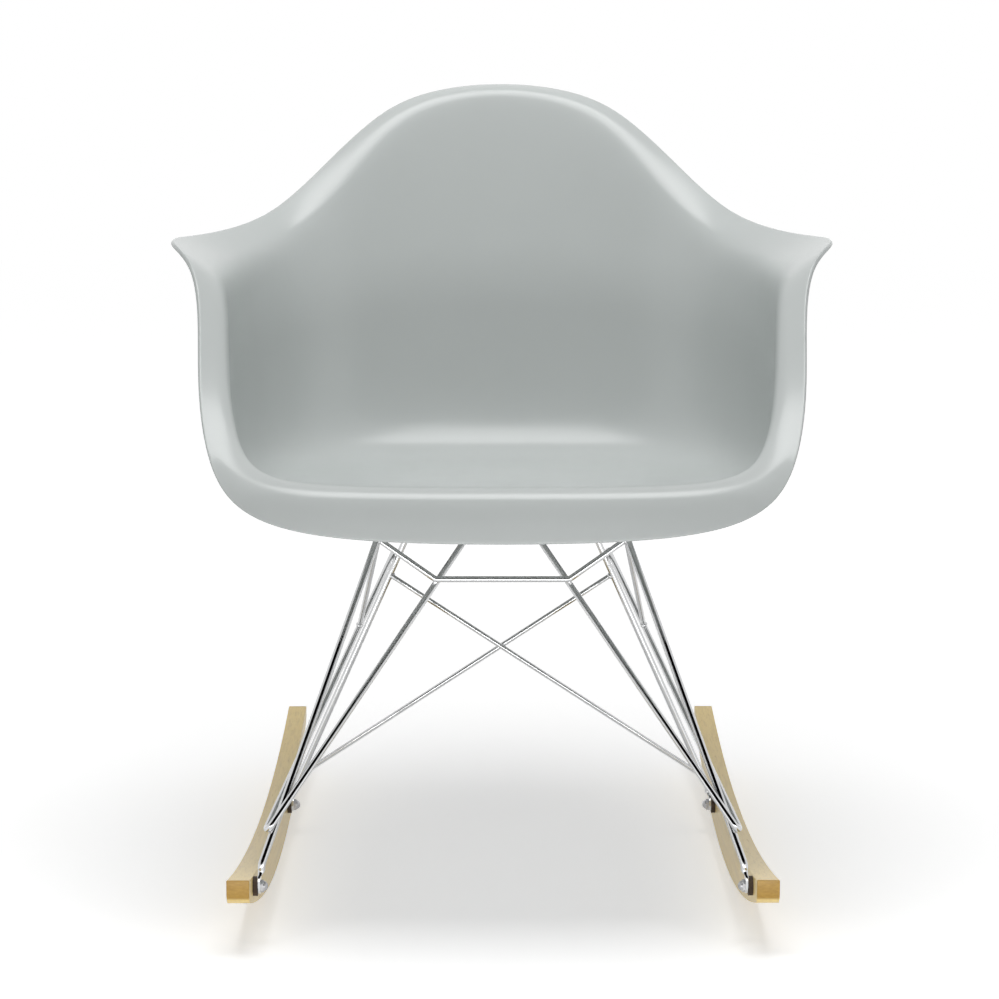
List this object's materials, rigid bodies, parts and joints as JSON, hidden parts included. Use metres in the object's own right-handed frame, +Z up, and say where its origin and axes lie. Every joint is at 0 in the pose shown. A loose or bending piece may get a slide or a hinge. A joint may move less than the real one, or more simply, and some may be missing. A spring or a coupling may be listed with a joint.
{
  "type": "rocking chair",
  "caption": "Armchair with a one-piece moulded plastic bucket shell on a bent chromed wire base, bolted to two curved solid wood rockers.",
  "frame": {"origin": "on the floor, under the middle of the chair's overall box", "axes": "+Z up, +Y towards the back of the chair, +X to the right of someone who looks along +Y"},
  "size_m": [0.6222, 0.69, 0.7605],
  "materials": {
    "shell": "satin, pale grey",
    "chrome": "polished",
    "wood": "clear satin lacquer on pale maple",
    "cushion_rubber": "matte black",
    "spacer_rubber": "matte dark brown",
    "zinc_steel": "zinc plated",
    "insert_brass": "plain"
  },
  "bodies": {
    "root": {"seat_shell": "shell", "boss_inserts": "insert_brass", "seat_washers": "zinc_steel", "seat_screws": "zinc_steel", "under_seat_cross_rod": "chrome", "tray_rod": "chrome", "x_brace_front": "chrome", "x_brace_rear": "chrome", "foot_spacers": "spacer_rubber", "foot_bolts": "zinc_steel", "foot_nuts": "zinc_steel", "side_frame_left": "chrome", "v_rod_left": "chrome", "short_brace_left": "chrome", "rocker_left": "wood", "seat_cushion_front_left": "cushion_rubber", "seat_lug_front_left": "chrome", "seat_cushion_rear_left": "cushion_rubber", "seat_lug_rear_left": "chrome", "side_frame_right": "chrome", "v_rod_right": "chrome", "short_brace_right": "chrome", "rocker_right": "wood", "seat_cushion_front_right": "cushion_rubber", "seat_lug_front_right": "chrome", "seat_cushion_rear_right": "cushion_rubber", "seat_lug_rear_right": "chrome"}
  },
  "joints": []
}
